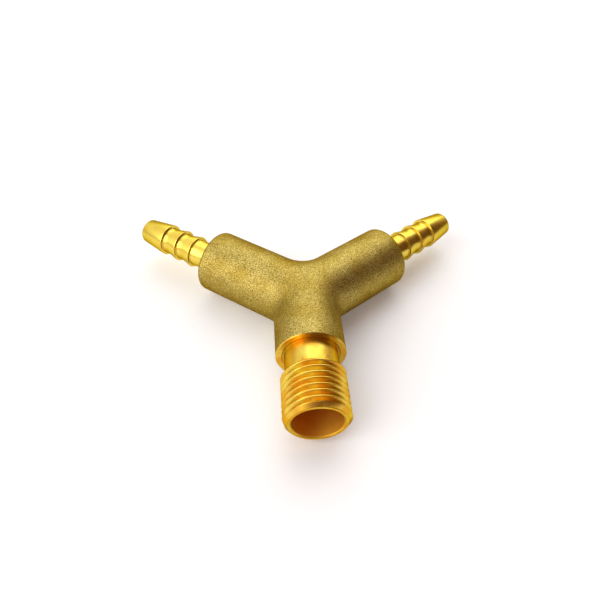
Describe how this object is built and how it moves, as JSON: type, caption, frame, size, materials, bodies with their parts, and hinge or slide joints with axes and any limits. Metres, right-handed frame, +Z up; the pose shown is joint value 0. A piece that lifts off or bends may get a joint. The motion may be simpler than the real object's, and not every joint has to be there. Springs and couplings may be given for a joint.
{
  "type": "barbed y connector",
  "caption": "Brass Y connector: a forged three-arm body with a male-threaded nipple on one arm and a barbed hose tail on each of the other two.",
  "frame": {"origin": "centre of the part's own box in plan, on the level surface that the body lies on", "axes": "+Z up, square to the plane of the three arms; -Y along the threaded nipple, away from the junction; +X towards the right-hand hose tail"},
  "size_m": [0.0796, 0.0604, 0.0146],
  "materials": {
    "forged_brass": "dull, fine grit-blasted forging",
    "turned_brass": "bright, lathe turned",
    "braze_alloy": "satin silver-brass brazing alloy"
  },
  "bodies": {
    "root": {"forged_body": "forged_brass", "threaded_nipple": "turned_brass", "left_hose_tail": "turned_brass", "right_hose_tail": "turned_brass", "nipple_braze_ring": "braze_alloy", "left_braze_ring": "braze_alloy", "right_braze_ring": "braze_alloy"}
  },
  "joints": []
}
